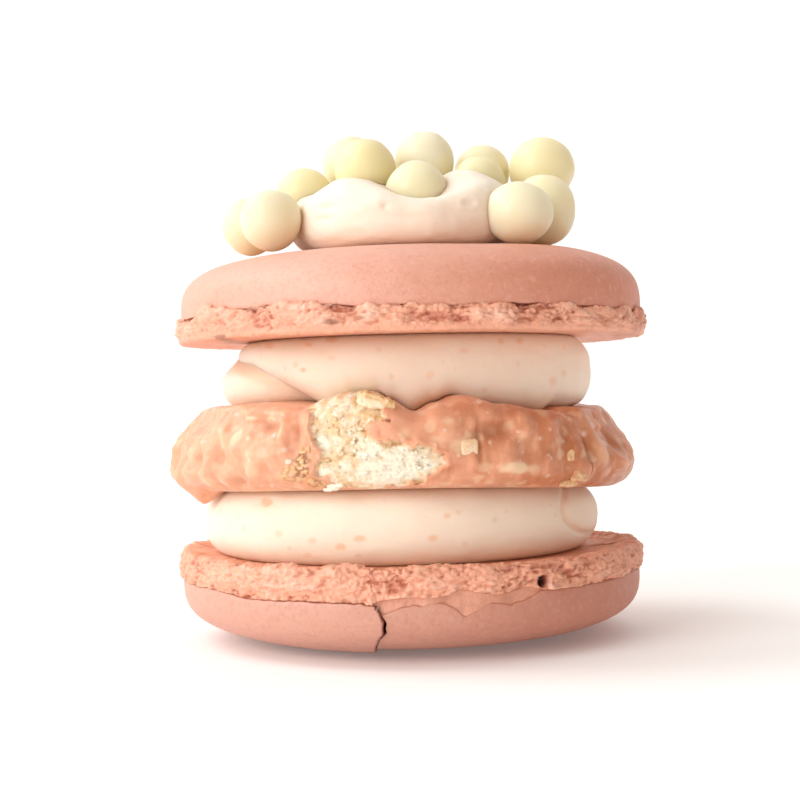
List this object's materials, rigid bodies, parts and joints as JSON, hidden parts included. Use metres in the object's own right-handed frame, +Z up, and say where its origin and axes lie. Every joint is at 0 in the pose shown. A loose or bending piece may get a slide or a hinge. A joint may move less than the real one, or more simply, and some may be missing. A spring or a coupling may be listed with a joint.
{
  "type": "french macaron",
  "caption": "Tall filled macaron: almond shells round piped cream and a glazed biscuit, topped with a dollop of cream and crisp chocolate pearls.",
  "frame": {"origin": "on the table, under the middle of the bottom shell", "axes": "+Z up; -Y is the front, with the biscuit's broken patch and the crack in the bottom shell; +X is to the right seen from the front"},
  "size_m": [0.0475, 0.0465, 0.0503],
  "materials": {
    "shell": "baked almond meringue: smooth salmon-pink skin with fine pits, and a rough ruffled foot",
    "cream": "piped buttercream, smooth and satin, with small orange flecks",
    "glazed_biscuit": "peach-orange satin glaze over crumbly biscuit, broken open at the front",
    "topping_cream": "pale pink-cream buttercream, satin, with small dents",
    "pearl": "ivory chocolate-coated crisp pearl, satin gloss"
  },
  "bodies": {
    "root": {"shell_bottom": "shell", "cream_lower": "cream", "biscuit": "glazed_biscuit", "cream_upper": "cream", "shell_top": "shell", "cream_dollop": "topping_cream", "pearl_01": "pearl", "pearl_02": "pearl", "pearl_03": "pearl", "pearl_04": "pearl", "pearl_05": "pearl", "pearl_06": "pearl", "pearl_07": "pearl", "pearl_08": "pearl", "pearl_09": "pearl", "pearl_10": "pearl", "pearl_11": "pearl", "pearl_12": "pearl", "pearl_13": "pearl", "pearl_14": "pearl", "pearl_15": "pearl"}
  },
  "joints": []
}
